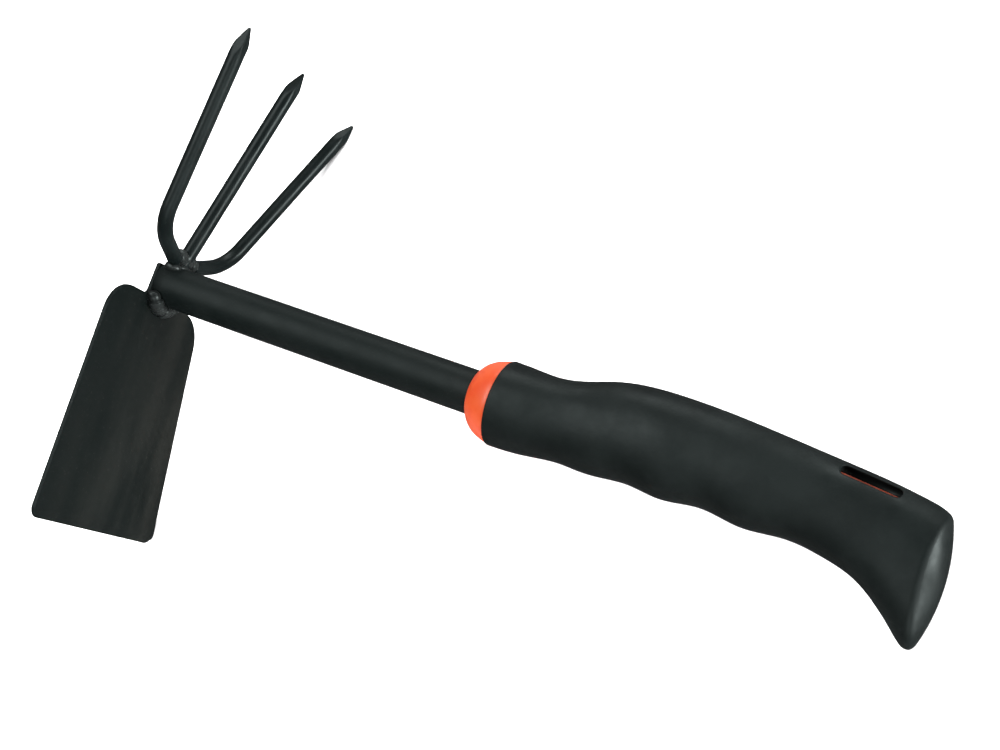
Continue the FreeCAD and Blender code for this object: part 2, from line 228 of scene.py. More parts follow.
def band(first, second, count):
    """Quads between two closed loops of vertices that start at these indices."""
    return [(first + i, first + (i + 1) % count, second + (i + 1) % count, second + i)
            for i in range(count)]


def skin(rings, closed=False):
    """Points and quads through a list of rings, its two ends capped, or joined if closed."""
    count = len(rings[0])
    faces = []
    for i in range(len(rings) - 1):
        faces += band(i * count, (i + 1) * count, count)
    if closed:
        faces += band((len(rings) - 1) * count, 0, count)
    else:
        last = (len(rings) - 1) * count
        faces.append(tuple(reversed(range(count))))
        faces.append(tuple(range(last, last + count)))
    return np.concatenate(rings), faces


def circle(count):
    """Cosines and sines round a circle."""
    angles = np.linspace(0, 2 * math.pi, count, endpoint=False)
    return np.cos(angles), np.sin(angles)


def wobble(points, size, depth, seed):
    """How far each point stands out, as smooth noise of this feature size and depth."""
    shift = Vector((seed * 7.3, seed * 3.1, seed * 1.7))
    return np.array([depth * noise.noise(Vector(p) / size + shift) for p in points])


# ---- Head pieces --------------------------------------------------------------------------------
def blade_plane_x(z):
    """Where the blade's inner face is at this height, along the tube."""
    return -z * math.tan(BLADE_LEAN)


def build_tube(material):
    """Tube with its wall, the head end cut along the blade and both ends' edges broken."""
    across, up = circle(TUBE_POINTS)
    outer, inner, edge = TUBE_RADIUS, TUBE_RADIUS - TUBE_WALL, TUBE_EDGE

    def ring(radius, back):
        cut = blade_plane_x(up * radius)
        return np.stack([cut + back, across * radius, up * radius], 1)

    def end_ring(radius, x):
        return np.stack([np.full(TUBE_POINTS, x), across * radius, up * radius], 1)

    stations = np.linspace(TUBE_CUT_END, TUBE_LENGTH - 2.0, TUBE_RINGS)
    rings = [ring(outer - edge, 0.02), ring(outer, edge)]
    rings += [end_ring(outer, x) for x in stations]
    rings += [end_ring(outer, TUBE_LENGTH - edge), end_ring(outer - edge, TUBE_LENGTH)]
    rings += [end_ring(inner, TUBE_LENGTH), end_ring(inner, TUBE_CUT_END), ring(inner, 0.02)]
    points, faces = skin(rings, closed=True)
    return piece("shaft_tube_skin", points, faces, material, "head_paint", "shaft_tube")


def rounded_outline(corners, step=math.radians(9)):
    """Closed outline of straight runs with its corners rounded, as points in a plane."""
    points = []
    for i, (x, y, radius) in enumerate(corners):
        here = Vector((x, y))
        before = (Vector(corners[i - 1][:2]) - here).normalized()
        after = (Vector(corners[(i + 1) % len(corners)][:2]) - here).normalized()
        half = before.angle(after) / 2
        reach = radius / math.tan(half)
        centre = here + (before + after).normalized() * radius / math.sin(half)
        start, end = here + before * reach - centre, here + after * reach - centre
        steps = max(2, round((math.pi - 2 * half) / step))
        for k in range(steps + 1):
            sweep = k / steps * start.angle_signed(end)
            arm = Matrix.Rotation(-sweep, 2) @ start
            points.append(centre + arm)
    return np.array([tuple(p) for p in points])


def inset_outline(outline, distance):
    """The closed outline moved inwards by distance, along its normals."""
    ahead = np.roll(outline, -1, 0) - np.roll(outline, 1, 0)
    normal = np.stack([ahead[:, 1], -ahead[:, 0]], 1)
    normal /= np.linalg.norm(normal, axis=1)[:, None]
    x, y = outline.T
    turning = np.sum(x * np.roll(y, -1) - np.roll(x, -1) * y)
    return outline - normal * distance * math.copysign(1, turning)


def blade_front(y, down):
    """How far the inner face lies from the blade's plane: the bevel and faint press marks."""
    bevel = -BEVEL_DROP * np.clip((down - (BLADE_DEPTH - BEVEL_WIDTH)) / BEVEL_WIDTH, 0, 1)
    marks = 0
    for across, depth in PRESS_MARKS:
        run = np.clip((down - 14) / 4, 0, 1) * np.clip((44 - down) / 16, 0, 1)
        off = (y - across * (1 + down / 160)) / PRESS_MARK_WIDTH
        marks = marks - depth * run * np.exp(-off ** 2)
    return bevel + marks


def blade_outline():
    """Outline of blade and neck in short steps: across, and down from the tube's centre."""
    left = [(-y, down, radius) for y, down, radius in reversed(BLADE_CORNERS)]
    rough = rounded_outline([*BLADE_CORNERS, *left])
    points = []
    for i, start in enumerate(rough):
        run = rough[(i + 1) % len(rough)] - start
        parts = max(1, round(np.linalg.norm(run) / OUTLINE_STEP))
        points += [start + run * k / parts for k in range(parts)]
    return np.array(points)


def blade_triangles(outline, rim):
    """Triangles over the blade: its rim, even rows within it and the crease of the bevel.

    Returns the points, the rim's first, the triangles and the edges along the crease."""
    crease_at = BLADE_DEPTH - BEVEL_WIDTH
    (shoulder, top, _), (corner, bottom, _) = BLADE_CORNERS[2:]
    half = np.interp(crease_at, (top, bottom), (shoulder, corner))
    crease = [(y, crease_at) for y in np.linspace(-half + 0.7, half - 0.7, CREASE_POINTS)]
    limit = inset_outline(outline, RIM_GAP)
    grid = [(y, down) for down in np.arange(-6, BLADE_DEPTH - 1, BLADE_SPACING)
            for y in np.arange(-47.5, 48, BLADE_SPACING)]
    grid = [p for p in grid if inside(p, limit) and abs(p[1] - crease_at) > CREASE_GAP]
    count = len(rim)
    loop = [(i, (i + 1) % count) for i in range(count)]
    first = count + len(grid)
    line = [(i, i + 1) for i in range(first, first + len(crease) - 1)]
    seeds = [Vector(p) for p in (*rim, *grid, *crease)]
    flat, _, triangles, *_ = delaunay_2d_cdt(seeds, loop + line, [], 1, 1e-6)
    return np.array([tuple(p) for p in flat]), triangles, line


def build_blade(material):
    """Stamped sheet with rounded edges, the ground bevel and faint press marks."""
    outline = blade_outline()
    radius = BLADE_EDGE_RADIUS
    rim = inset_outline(outline, radius)
    flat, triangles, crease = blade_triangles(outline, rim)
    y, down = flat.T
    front = np.stack([blade_front(y, down), y, -down], 1)
    back = np.stack([np.full(len(flat), -BLADE_THICK), y, -down], 1)
    faces = [oriented(front, t, 1) for t in triangles]
    faces += [tuple(i + len(flat) for i in oriented(back, t, -1)) for t in triangles]

    def rim_ring(turn, x):
        spot = inset_outline(outline, radius * (1 - math.sin(turn)))
        return np.stack([x + 0 * spot[:, 0], spot[:, 0], -spot[:, 1]], 1)

    turns = np.linspace(0, math.pi / 2, 5)[1:]
    drops = radius * (1 - np.cos(turns))
    rim_front = blade_front(*rim.T)
    rings = [rim_ring(turn, rim_front - drop) for turn, drop in zip(turns, drops)]
    rings += [rim_ring(turn, drop - BLADE_THICK) for turn, drop in zip(turns[::-1], drops[::-1])]
    count = len(outline)
    starts = [0] + [2 * len(flat) + i * count for i in range(len(rings))] + [len(flat)]
    for a, b in zip(starts, starts[1:]):
        faces += band(b, a, count)
    cos, sin = math.cos(BLADE_LEAN), math.sin(BLADE_LEAN)
    lean = np.array(((cos, 0, -sin), (0, 1, 0), (sin, 0, cos)))
    points = np.concatenate([front, back, *rings]) @ lean.T
    return piece("hoe_blade_skin", points, faces, material, "head_paint", "hoe_blade", sharp=crease)


def inside(point, outline):
    """Whether a point of the plane lies inside the outline."""
    x, y = point
    ax, ay = outline.T
    bx, by = np.roll(ax, -1), np.roll(ay, -1)
    crosses = (ay > y) != (by > y)
    at = ax + (y - ay) * (bx - ax) / np.where(by == ay, 1, by - ay)
    return np.count_nonzero(crosses & (x < at)) % 2 == 1


def oriented(points, triangle, side):
    """The triangle's corners in the order that makes it face +X, or -X if side is -1."""
    a, b, c = (points[i] for i in triangle)
    faces_x = np.cross(b - a, c - a)[0] * side > 0
    return tuple(triangle) if faces_x else tuple(reversed(triangle))


def fork_point(lean, spread, rise):
    """Point on a tine: sideways from the middle plane and up from the fork's foot, leaning."""
    x, z = FORK_FOOT
    return np.array((x + rise * math.sin(lean), spread, z + rise * math.cos(lean)))


def rod_path(corners, radius, spacing=1.5):
    """Points along straight runs, rounded at the middle corner if there is one."""
    if len(corners) == 2:
        start, end = corners
        return [start + (end - start) * t
                for t in np.linspace(0, 1, round(np.linalg.norm(end - start) / spacing))]
    start, corner, end = corners
    before, after = unit(start - corner), unit(end - corner)
    half = math.acos(float(before @ after)) / 2
    reach = radius / math.tan(half)
    centre = corner + unit(before + after) * radius / math.sin(half)
    first, last = corner + before * reach, corner + after * reach
    turn = math.pi - 2 * half
    arm = first - centre
    other = unit((last - centre) - arm * float((last - centre) @ arm) / radius ** 2) * radius
    bend = [centre + arm * math.cos(a) + other * math.sin(a) for a in np.linspace(0, turn, 22)]
    head = rod_path((start, first), 0, spacing)[:-1]
    tail = rod_path((last, end), 0, spacing)[1:]
    return head + bend + tail


def unit(v):
    """The vector drawn in or out to length 1."""
    return v / np.linalg.norm(v)


def build_tine(name, corners, seed, material):
    """Round rod with a four-sided ground point whose edges are a little rounded."""
    path = np.array(rod_path(corners, OUTER_BEND[2]))
    tip = corners[-1]
    along = unit(path[-1] - path[-2])
    path = path[np.linalg.norm(path - tip, axis=1) >= POINT_LENGTH + 1.0]
    plain = len(path) - 4        # rings before the grinding can show
    backs = np.linspace(POINT_LENGTH + 0.9, 0, TIP_RINGS)
    path = np.concatenate([path, tip - along * backs[:, None]])
    cos, sin = circle(ROD_POINTS)
    slope = (ROD_RADIUS - POINT_FLAT) / POINT_LENGTH
    rings = []
    for i, centre in enumerate(path):
        ahead = unit(path[min(i + 1, len(path) - 1)] - path[max(i - 1, 0)])
        toward = unit(np.array((1.0, 0, 0)) - ahead * ahead[0])
        sideways = np.cross(ahead, toward)
        back = float((tip - centre) @ along) if i > plain else math.inf
        radius = ROD_RADIUS
        if back < math.inf:
            square = (POINT_FLAT + slope * back) / np.maximum(abs(cos), abs(sin))
            power = -POINT_SOFTNESS
            radius = (ROD_RADIUS ** power + square ** power) ** (1 / power)
            centre = centre + toward * POINT_SHIFT * max(0, 1 - back / POINT_LENGTH)
        ring = centre + np.outer(radius * cos, toward) + np.outer(radius * sin, sideways)
        rings.append(ring)
    # Break the edges of both ends: the tip's in two steps, the foot's in one.
    rings[-1] = rings[-1] - along * 0.25
    for share in (0.9, 0.6):
        rings.append(shrunk(rings[-1], share) + along * 0.12)
    rings.insert(0, shrunk(rings[0], 0.9))
    rings[1] = rings[1] + unit(path[1] - path[0]) * 0.35
    points, faces = skin(rings)
    centres = np.repeat([r.mean(0) for r in rings], ROD_POINTS, 0)
    outward = points - centres
    outward /= np.maximum(np.linalg.norm(outward, axis=1), 1e-9)[:, None]
    dents = wobble(points, 9.0, 0.05, seed) + wobble(points, 3.0, 0.02, seed + 5) - 0.05
    points = points + outward * dents[:, None]
    return piece(name + "_skin", points, faces, material, "head_paint", name)


def shrunk(ring, share):
    """The ring drawn in to this share of its size about its middle."""
    centre = ring.mean(0)
    return centre + (ring - centre) * share


def build_tines(material):
    """The straight middle tine and the two bent outer ones."""
    foot = fork_point(MIDDLE_LEAN, 0, -1.4)
    build_tine("tine_middle", (foot, fork_point(MIDDLE_LEAN, 0, MIDDLE_TIP)), 1, material)
    spread, rise, _ = OUTER_BEND
    root_rise = rise - (spread - OUTER_ROOT_SPREAD) * math.tan(OUTER_ROOT_SLOPE)
    for name, side in (("tine_left", -1), ("tine_right", 1)):
        corners = (
            fork_point(OUTER_LEAN, side * OUTER_ROOT_SPREAD, root_rise),
            fork_point(OUTER_LEAN, side * spread, rise),
            fork_point(OUTER_LEAN, side * OUTER_TIP_SPREAD, OUTER_TIP),
        )
        build_tine(name, corners, 2 + side, material)


def build_bead(material):
    """Weld bead round the lower side of the tube: overlapping lumps laid one after another."""
    cos, sin = circle(36)
    rings = []
    for t in np.linspace(0, 1, BEAD_RINGS):
        angle = BEAD_SWEEP * (2 * t - 1)
        end = math.sqrt(max(0.0, 1 - abs(2 * t - 1) ** 6))
        number, share = divmod(t * BEAD_LUMPS, 1)
        lump = math.sqrt(max(0.0, 1 - (1.15 * share - 0.25) ** 2))
        odd = noise.noise(Vector((number * 1.37, 2.2, 0)))
        size = (0.68 + 0.36 * lump + 0.14 * odd) * (0.25 + 0.75 * end)
        out = np.array((0, math.sin(angle), -math.cos(angle)))
        spot = out * (BEAD_RADIUS + 0.3 * odd)
        spot[0] = blade_plane_x(spot[2]) + BEAD_OFF + 0.25 * odd
        wide, thick = size * BEAD_HALF[0], size * BEAD_HALF[1]
        ring = spot + np.outer(cos * wide, (1, 0, 0)) + np.outer(sin * thick, out)
        rings.append(ring)
    points, faces = skin(rings)
    return piece("blade_weld_bead_skin", points, faces, material, "head_paint", "blade_weld_bead")


def build_lumps(name, lumps, seed, material, node):
    """Run-together lumps of weld: ellipsoids merged into one closed skin."""
    mesh = bpy.data.meshes.new(name)
    mesh_points, mesh_faces = [], []
    cos, sin = circle(LUMP_POINTS)
    for centre, sizes in lumps:
        rings = []
        for latitude in np.linspace(-1.5, 1.5, LUMP_RINGS):
            flat, height = math.cos(latitude), math.sin(latitude)
            ring = np.stack([cos * flat, sin * flat, np.full(LUMP_POINTS, height)], 1)
            rings.append(np.array(centre) + ring * np.array(sizes))
        points, faces = skin(rings)
        base = sum(len(p) for p in mesh_points)
        mesh_points.append(points)
        mesh_faces += [tuple(i + base for i in f) for f in faces]
    mesh.from_pydata([tuple(p) for p in np.concatenate(mesh_points)], [], mesh_faces)
    obj = bpy.data.objects.new(name, mesh)
    bpy.context.scene.collection.objects.link(obj)
    remesh = obj.modifiers.new("merge", "REMESH")
    remesh.mode = "VOXEL"
    remesh.voxel_size = WELD_VOXEL
    smooth = obj.modifiers.new("soften", "SMOOTH")
    smooth.factor = 0.6
    smooth.iterations = 5
    bpy.context.view_layer.update()
    done = bpy.data.meshes.new_from_object(obj.evaluated_get(bpy.context.evaluated_depsgraph_get()))
    points = np.array([tuple(v.co) for v in done.vertices])
    normals = np.array([tuple(v.normal) for v in done.vertices])
    bumps = wobble(points, 2.8, 0.35, seed) + wobble(points, 1.2, 0.05, seed + 3)
    points = points + normals * bumps[:, None]
    faces = [tuple(p.vertices) for p in done.polygons]
    bpy.data.objects.remove(obj)
    return piece(name, points, faces, material, "head_paint", node)


def build_welds(material):
    """The bead under the tube, the weld of the fork on the tube and the one between the tines."""
    build_bead(material)
    build_lumps("fork_weld_skin", FORK_WELD_LUMPS, 4, material, "fork_weld")
    build_lumps("tine_root_weld_skin", ROOT_WELD_LUMPS, 9, material, "tine_root_weld")


# ---- Handle pieces ------------------------------------------------------------------------------
def spline_through(knots, values):
    """Natural cubic spline through the knots, as a function of arrays."""
    n = len(knots)
    gap = np.diff(knots)
    slope = np.diff(values) / gap
    system, right = np.eye(n), np.zeros(n)
    for i in range(1, n - 1):
        system[i, i - 1:i + 2] = gap[i - 1], 2 * (gap[i - 1] + gap[i]), gap[i]
        right[i] = 6 * (slope[i] - slope[i - 1])
    bend = np.linalg.solve(system, right)

    def value(x):
        i = np.clip(np.searchsorted(knots, x) - 1, 0, n - 2)
        h, a, b = gap[i], (knots[i + 1] - x) / gap[i], (x - knots[i]) / gap[i]
        curve = ((a ** 3 - a) * bend[i] + (b ** 3 - b) * bend[i + 1]) * h * h / 6
        return a * values[i] + b * values[i + 1] + curve

    return value


GRIP_TOP, GRIP_UNDER, GRIP_HALF = (
    spline_through(GRIP_STATIONS[:, 0], GRIP_STATIONS[:, k]) for k in (1, 2, 3))


def grip_section(x, inset):
    """Half width, half height, middle height and power of the grip's section."""
    top, under = GRIP_TOP(x), GRIP_UNDER(x)
    start, rest = GRIP_POWERS
    blend = np.clip((x - GRIP_START) / GRIP_POWER_RUN, 0, 1)
    power = start + (rest - start) * blend * blend * (3 - 2 * blend)
    return GRIP_HALF(x) - inset, (top - under) / 2 - inset, (top + under) / 2, power


def grip_point(x, angle, inset):
    """Point of the grip's surface at this place along it and angle round it, 90 degrees on top."""
    half, tall, middle, power = grip_section(x, inset)
    cos, sin = np.cos(angle), np.sin(angle)
    y = half * np.sign(cos) * abs(cos) ** (2 / power)
    z = middle + tall * np.sign(sin) * abs(sin) ** (2 / power)
    return np.stack([x + 0 * y, y, z], -1)


def grip_side(x, z, inset):
    """Half width of the grip's surface at this place along it and this height."""
    half, tall, middle, power = grip_section(x, inset)
    share = np.clip(1 - (abs(z - middle) / tall) ** power, 0, 1)
    return half * share ** (1 / power)


def butt_x(y, z, inset):
    """Where the domed butt is at this height and this far sideways."""
    rim = BUTT_PLAN_RADIUS - inset
    reach = BUTT_ARC_RADIUS - BUTT_PLAN_RADIUS + np.sqrt(np.maximum(rim ** 2 - y ** 2, 0.01))
    return BUTT_END - BUTT_ARC_RADIUS + np.sqrt(reach ** 2 - (z - BUTT_CENTRE_Z) ** 2)


def grip_angles():
    """Angles round the section, from the top down the right side and up the left side."""
    upper, lower = SLOT_PATCH_ANGLES
    down = np.concatenate([
        np.linspace(90, upper, 7)[:-1],
        np.linspace(upper, lower, 9)[:-1],
        np.linspace(lower, -90, 33),
    ])
    return np.radians(np.concatenate([down, (180 - down[1:-1])[::-1]]))


ANGLES = grip_angles()
COUNT = len(ANGLES)
UPPER, LOWER = 6, 14             # places of the slot patch's edges in ANGLES, right side
NOTCH_EDGE = 10                  # and of the edge of the notch's floor


def slot_outline(borders, offset):
    """The slot's outline moved out by offset, with as many points as the patch's four borders."""
    along, down = borders
    radius = SLOT_HEIGHT / 2 + offset
    run = (SLOT_LENGTH - SLOT_HEIGHT) / 2
    quarter = math.pi / 4

    def arc(start, end, count, side):
        angles = np.linspace(start, end, count + 1)[:-1]
        return [(side * run + radius * math.cos(a), radius * math.sin(a)) for a in angles]

    def over(sign, count):
        """From one end's diagonal point over the straight side to the other's."""
        bend = radius * quarter
        whole = 2 * bend + 2 * run
        spots = []
        for s in np.linspace(0, whole, count + 1)[:-1]:
            if s < bend:
                a = math.pi - quarter - s / radius
                spots.append((-run + radius * math.cos(a), radius * math.sin(a)))
            elif s < bend + 2 * run:
                spots.append((-run + s - bend, radius))
            else:
                a = math.pi / 2 - (s - bend - 2 * run) / radius
                spots.append((run + radius * math.cos(a), radius * math.sin(a)))
        return [(x * sign, y * sign) for x, y in spots]

    outline = over(1, along) + arc(quarter, -quarter, down, 1)
    outline += over(-1, along) + arc(math.pi + quarter, math.pi - quarter, down, -1)
    cos, sin = math.cos(SLOT_TILT), math.sin(SLOT_TILT)
    x0, z0 = SLOT_AT
    return np.array([(x0 + x * cos + y * sin, z0 - x * sin + y * cos) for x, y in outline])


def notch_floor(x):
    """Height of the floor of the core's notch at this place along it."""
    return SLOT_AT[1] - (x - SLOT_AT[0]) * math.tan(SLOT_TILT) - SLOT_HEIGHT / 2 + SLOT_LEDGE


def notched_ring(x, inset):
    """Ring of the core cut off flat at the notch's floor, one point right on each edge of it."""
    floor = notch_floor(x)
    _, tall, middle, power = grip_section(x, inset)
    edge = math.asin(((floor - middle) / tall) ** (power / 2))
    right = ANGLES[:COUNT // 2 + 1]
    lower = np.interp(right[NOTCH_EDGE:], (-math.pi / 2, right[NOTCH_EDGE]), (-math.pi / 2, edge))
    flank = grip_point(np.full(len(lower), x), lower, inset)
    across = np.linspace(0, 1, NOTCH_EDGE + 1)[:-1] * flank[0, 1]
    top = np.stack([np.full(NOTCH_EDGE, x), across, np.full(NOTCH_EDGE, floor)], 1)
    half = np.concatenate([top, flank])
    other = half[1:-1][::-1] * (1, -1, 1)
    return np.concatenate([half, other])


def butt_rings(inset):
    """Rings from the tail over the soft edge of the butt."""
    x = np.full(COUNT, 370.0)    # near where the flank meets the dome; settled in the loop
    for _ in range(60):
        spots = grip_point(x, ANGLES, inset)
        x = 0.5 * x + 0.5 * butt_x(spots[:, 1], spots[:, 2], inset)
    corner = grip_point(x, ANGLES, inset)
    step = 0.05
    along = grip_point(x + step, ANGLES, inset) - corner
    around = grip_point(x, ANGLES + step, inset) - corner
    side_normal = np.cross(along, around)
    y, z = corner[:, 1], corner[:, 2]
    slope_y = (butt_x(y + step, z, inset) - butt_x(y - step, z, inset)) / (2 * step)
    slope_z = (butt_x(y, z + step, inset) - butt_x(y, z - step, inset)) / (2 * step)
    butt_normal = np.stack([np.ones(COUNT), -slope_y, -slope_z], 1)
    middle = corner.mean(0)
    side_normal *= np.sign(np.sum(side_normal[:, 1:] * (corner - middle)[:, 1:], 1))[:, None]
    cosine = np.sum(side_normal * butt_normal, 1)
    cosine /= np.linalg.norm(side_normal, axis=1) * np.linalg.norm(butt_normal, axis=1)
    reach = (BUTT_EDGE_RADIUS - inset) * np.tan(np.arccos(cosine) / 2)
    for _ in range(4):
        reach = (np.roll(reach, 1) + 2 * reach + np.roll(reach, -1)) / 4
    start_x = x - reach
    start = grip_point(start_x, ANGLES, inset)
    inner = inset_outline(corner[:, 1:], reach[:, None])
    end = np.column_stack([butt_x(inner[:, 0], inner[:, 1], inset), inner])
    rings = [grip_point(TAIL_START + (start_x - TAIL_START) * t, ANGLES, inset)
             for t in np.linspace(0, 1, TAIL_RINGS)[1:]]
    rings += [start * (1 - t) ** 2 + corner * 2 * t * (1 - t) + end * t * t
              for t in np.linspace(0, 1, EDGE_RINGS)[1:]]
    return rings


def close_butt(points, ring_number, inset):
    """Rows of quads across the butt, from each point of the last ring to its mirror image."""
    start = ring_number * COUNT
    half = COUNT // 2
    faces, above = [], None
    for j in range(1, half):
        right, left = start + j, start + COUNT - j
        row = [right]
        for k in range(1, BUTT_COLUMNS):
            spot = points[right] + (points[left] - points[right]) * k / BUTT_COLUMNS
            spot[0] = butt_x(spot[1], spot[2], inset)
            points.append(spot)
            row.append(len(points) - 1)
        row.append(left)
        if above is None:
            faces += [(start, row[k], row[k + 1]) for k in range(BUTT_COLUMNS)]
        else:
            faces += [(above[k], row[k], row[k + 1], above[k + 1])
                      for k in range(BUTT_COLUMNS)]
        above = row
    return faces + [(start + half, above[k + 1], above[k]) for k in range(BUTT_COLUMNS)]


def stitch(first, second):
    """Quads between two loops of vertex numbers."""
    count = len(first)
    return [(first[k], first[(k + 1) % count], second[(k + 1) % count], second[k])
            for k in range(count)]


def slot_mouth(points, faces, stations, side):
    """Fill the gap left in the rings with a patch round the slot's mouth, and line the slot up to a
    flat dark wall in the middle that stands in for the shade seen through it.
    """
    first = int(np.argmin(abs(stations - SLOT_SPAN[0])))
    last = int(np.argmin(abs(stations - SLOT_SPAN[1])))

    def spot(i, j):
        return i * COUNT + (j if side > 0 else COUNT - j)

    border = [spot(i, UPPER) for i in range(first, last)]
    border += [spot(last, j) for j in range(UPPER, LOWER)]
    border += [spot(i, LOWER) for i in range(last, first, -1)]
    border += [spot(first, j) for j in range(LOWER, UPPER, -1)]
    borders = (last - first, LOWER - UPPER)
    outer = slot_outline(borders, SLOT_LIP)
    edge = np.array([points[k][[0, 2]] for k in border])
    loops = [(edge + (outer - edge) * t, 0.0) for t in (0.35, 0.7, 1.0)]
    for turn in np.linspace(0, math.pi / 2, 6)[1:]:
        loop = slot_outline(borders, SLOT_LIP * (1 - math.sin(turn)))
        loops.append((loop, SLOT_LIP * (1 - math.cos(turn))))
    before = border
    for loop, depth in loops:
        y = (grip_side(loop[:, 0], loop[:, 1], 0) - depth) * side
        here = list(range(len(points), len(points) + len(loop)))
        points += list(np.stack([loop[:, 0], y, loop[:, 1]], 1))
        faces += stitch(before, here)
        before = here
    x, z = slot_outline(borders, 0).T
    here = list(range(len(points), len(points) + len(x)))
    # The slot ends in a flat rubber wall at the middle: a dark stand-in for the shade seen through
    # it.
    points += list(np.stack([x, np.full(len(x), side * SLOT_SHADE_WALL / 2), z], 1))
    faces += stitch(before, here)
    faces.append(tuple(here))


def build_sleeve(material):
    """Soft sleeve: its skin, rounded front edge, domed butt and the slot from either side, closed in
    the middle by a dark rubber wall that stands in for the shade inside it.
    """
    before = np.arange(GRIP_START + GRIP_SPACING, SLOT_SPAN[0], GRIP_SPACING)
    stations = np.concatenate([before, np.linspace(*SLOT_SPAN, 29), [TAIL_START]])
    rings = [grip_point(GRIP_START + SLEEVE_FRONT, ANGLES, SLEEVE_WALL)]
    rings.append(grip_point(GRIP_START, ANGLES, SLEEVE_WALL))
    for turn in np.linspace(0, math.pi / 2, 6):
        drawn_in = FRONT_LIP * (1 - math.sin(turn))
        back = FRONT_LIP * (1 - math.cos(turn))
        rings.append(grip_point(GRIP_START + back, ANGLES, drawn_in))
    lead = len(rings)
    rings += [grip_point(x, ANGLES, 0) for x in stations]
    rings += butt_rings(0)
    points = list(np.concatenate(rings))
    stations = np.concatenate([np.full(lead, GRIP_START), stations])
    patch = (stations >= SLOT_SPAN[0] - 0.01) & (stations < SLOT_SPAN[1] - 0.01)
    faces = [tuple(range(COUNT))]
    for i in range(len(rings) - 1):
        for j, face in enumerate(band(i * COUNT, (i + 1) * COUNT, COUNT)):
            in_patch = UPPER <= j < LOWER or COUNT - LOWER <= j < COUNT - UPPER
            if not (i < len(patch) and patch[i] and in_patch):
                faces.append(face)
    for side in (1, -1):
        slot_mouth(points, faces, stations, side)
    faces += close_butt(points, len(rings) - 1, 0)
    piece("grip_sleeve_skin", np.array(points), faces, material, "grip_rubber", "grip_sleeve")


def build_core(material):
    """Hard core under the sleeve, notched for the slot."""
    inset = SLEEVE_WALL + CORE_GAP
    half = SLOT_LENGTH / 2 + NOTCH_MARGIN
    start, end = SLOT_AT[0] - half, SLOT_AT[0] + half
    step = 0.02                  # the notch's ends are this long, nearly upright
    before, along, after = CORE_RINGS
    rings = [grip_point(x, ANGLES, inset) for x in np.linspace(GRIP_START, start, before)]
    rings += [notched_ring(x, inset) for x in np.linspace(start + step, end - step, along)]
    rings += [grip_point(x, ANGLES, inset) for x in np.linspace(end, TAIL_START, after)]
    rings += butt_rings(inset)
    points = list(np.concatenate(rings))
    faces = [tuple(range(COUNT))]
    for i in range(len(rings) - 1):
        faces += band(i * COUNT, (i + 1) * COUNT, COUNT)
    faces += close_butt(points, len(rings) - 1, inset)
    piece("handle_core_skin", np.array(points), faces, material, "handle_plastic", "handle_core")


def build_collar(material):
    """Cone-shaped front of the core, with its thin lip on the tube and soft shoulder."""
    cos, sin = circle(TUBE_POINTS)
    rings = []
    for x, radius in COLLAR_SECTION:
        drop = COLLAR_DROP * (radius - 10) / 9
        rings.append(np.stack([np.full(TUBE_POINTS, x), cos * radius, sin * radius - drop], 1))
    points, faces = skin(rings, closed=True)
    return piece("handle_collar", points, faces, material, "handle_plastic", "handle_core")


# ---- Materials ----------------------------------------------------------------------------------
COOL = (0.87, 1.0, 0.98, 1)      # tint of the reflections on the black pieces
# Colours, linear: the plain one and the one it drifts to.
TUBE_COLOURS = ((0.005, 0.009, 0.0085), (0.0085, 0.0125, 0.012))
# The blade's second colour is a lighter warm grey, shown towards the floor as painted light.
BLADE_COLOURS = ((0.0035, 0.0065, 0.0062), (0.017, 0.018, 0.0155))
ROD_COLOURS = ((0.005, 0.0085, 0.0085), (0.01, 0.0145, 0.0145))
WELD_COLOURS = ((0.014, 0.017, 0.017), (0.028, 0.032, 0.031))
RUBBER_COLOURS = ((0.0035, 0.0065, 0.0062), (0.009, 0.0135, 0.013))
# The core's orange is darker than the collar's: dust, and painted shade for the shadow it lies in
# inside the slot.
CORE_COLOURS = ((0.2, 0.03, 0.014), (0.3, 0.05, 0.024))
COLLAR_COLOURS = ((0.95, 0.095, 0.022), (1.0, 0.135, 0.035))
GLOSSY = (0.28, 0.4)             # roughness from and to, on the rods and the welds
BLADE_STREAKS = 0.16             # how much the drift is drawn out down the blade
PAINTED_LIGHT_BELOW = 0.1                 # height in metres under which the blade is streaked lighter, more so nearer the floor: painted light


def new_material(name):
    """Material with a Principled shader.

    Returns it, its shader, a function that adds nodes, its links and the place on the object."""
    material = bpy.data.materials.new(name)
    material.use_nodes = True
    nodes, links = material.node_tree.nodes, material.node_tree.links
    shader = nodes["Principled BSDF"]

    def add(kind, inputs=(), **settings):
        node = nodes.new(kind)
        for key, value in settings.items():
            setattr(node, key, value)
        for key, value in dict(inputs).items():
            if isinstance(value, bpy.types.NodeSocket):
                links.new(value, node.inputs[key])
            else:
                node.inputs[key].default_value = value
        return node

    place_at = add("ShaderNodeTexCoord").outputs["Object"]
    return material, shader, add, links, place_at


def noise_at(add, where, scale, detail=3.0, roughness=0.5):
    """Noise of this many features a metre."""
    node = add("ShaderNodeTexNoise", {
        "Vector": where, "Scale": scale, "Detail": detail, "Roughness": roughness})
    return node.outputs["Fac"]


def ramp(add, factor, low, high, start, end):
    """Factor between low and high mapped to start and end."""
    node = add("ShaderNodeMapRange", {
        "Value": factor, "From Min": low, "From Max": high, "To Min": start, "To Max": end})
    return node.outputs["Result"]


